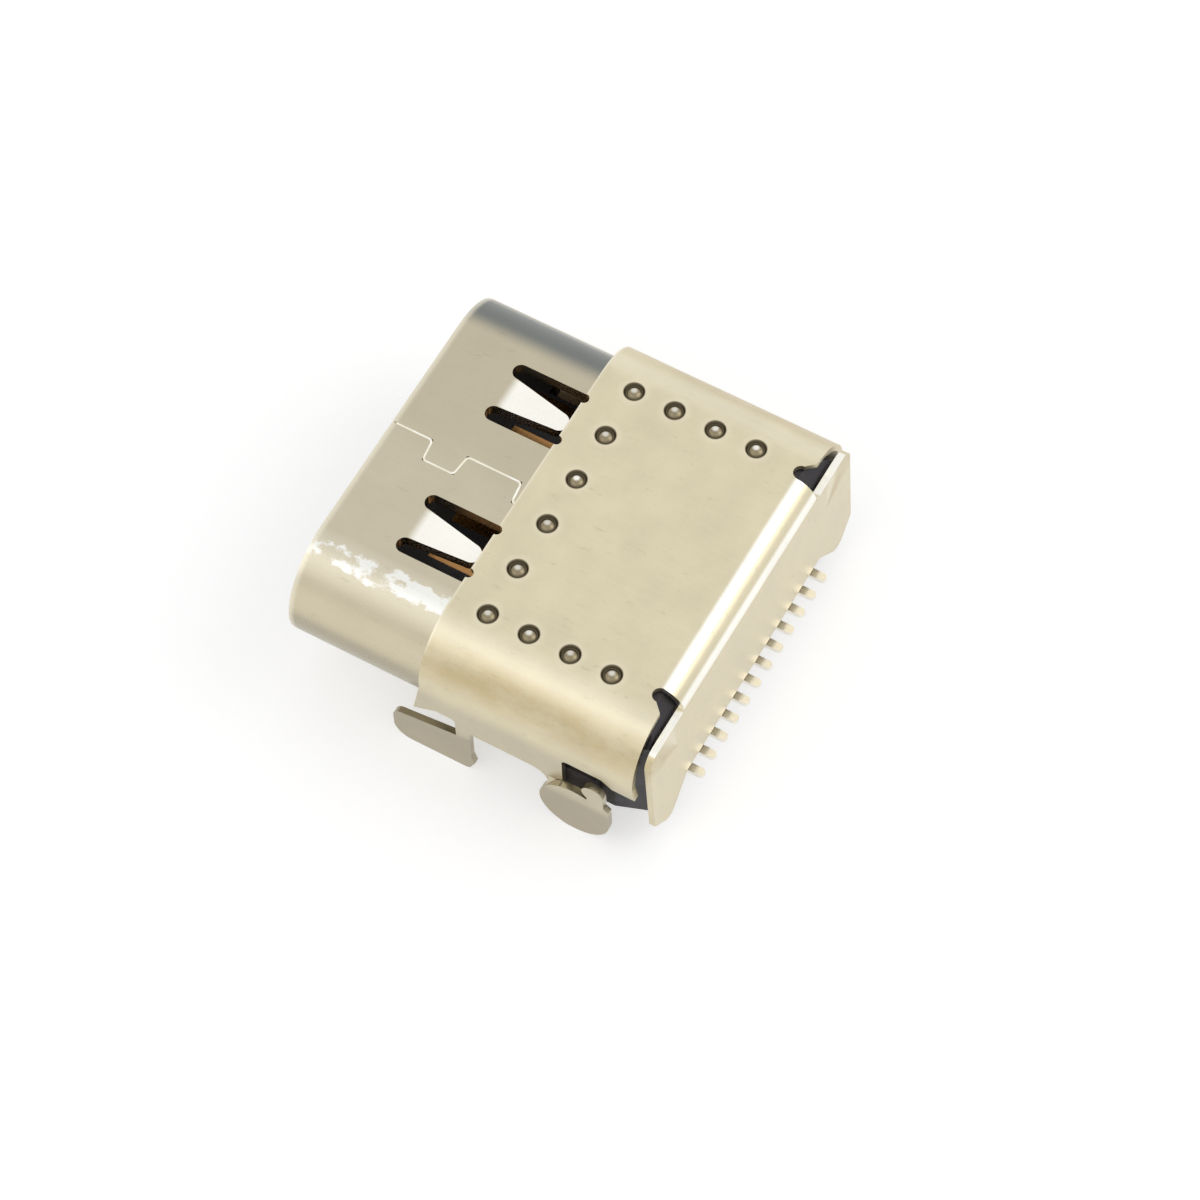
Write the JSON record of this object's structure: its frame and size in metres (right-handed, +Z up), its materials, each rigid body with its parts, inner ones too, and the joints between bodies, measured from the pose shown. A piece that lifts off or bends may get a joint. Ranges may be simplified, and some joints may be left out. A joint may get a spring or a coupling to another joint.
{
  "type": "board socket",
  "caption": "Reversible data and charging socket for a circuit board: stadium-shaped metal mouth around a flat tongue, folded cover with board legs and a rear flap, contacts with flat tails.",
  "frame": {"origin": "middle of the mouth's front edge in X and Y, on the board's top surface in Z", "axes": "-Y out of the mouth, towards the plug; +Y to the rear flap and the solder tails; +Z up from the board; X across the mouth's width"},
  "size_m": [0.0096, 0.0092, 0.0042],
  "materials": {
    "mouth_sheet": "satin nickel plating on stainless sheet",
    "cover_sheet": "satin nickel plating on thin stainless sheet",
    "housing_plastic": "black glass-filled moulding",
    "insert_plastic": "black glass-filled moulding",
    "steel_plate": "plain stainless",
    "contact_metal": "bright plated copper alloy"
  },
  "bodies": {
    "root": {"mouth_shell": "mouth_sheet", "cover_shell": "cover_sheet", "rear_housing": "housing_plastic", "upper_insert": "insert_plastic", "lower_insert": "insert_plastic", "tongue_nose": "insert_plastic", "mid_plate": "steel_plate", "ground_plate_top": "steel_plate", "ground_plate_bottom": "steel_plate", "contact_a1": "contact_metal", "contact_a2": "contact_metal", "contact_a3": "contact_metal", "contact_a4": "contact_metal", "contact_a5": "contact_metal", "contact_a6": "contact_metal", "contact_a7": "contact_metal", "contact_a8": "contact_metal", "contact_a9": "contact_metal", "contact_a10": "contact_metal", "contact_a11": "contact_metal", "contact_a12": "contact_metal", "contact_b1": "contact_metal", "contact_b2": "contact_metal", "contact_b3": "contact_metal", "contact_b4": "contact_metal", "contact_b5": "contact_metal", "contact_b6": "contact_metal", "contact_b7": "contact_metal", "contact_b8": "contact_metal", "contact_b9": "contact_metal", "contact_b10": "contact_metal", "contact_b11": "contact_metal", "contact_b12": "contact_metal"}
  },
  "joints": []
}
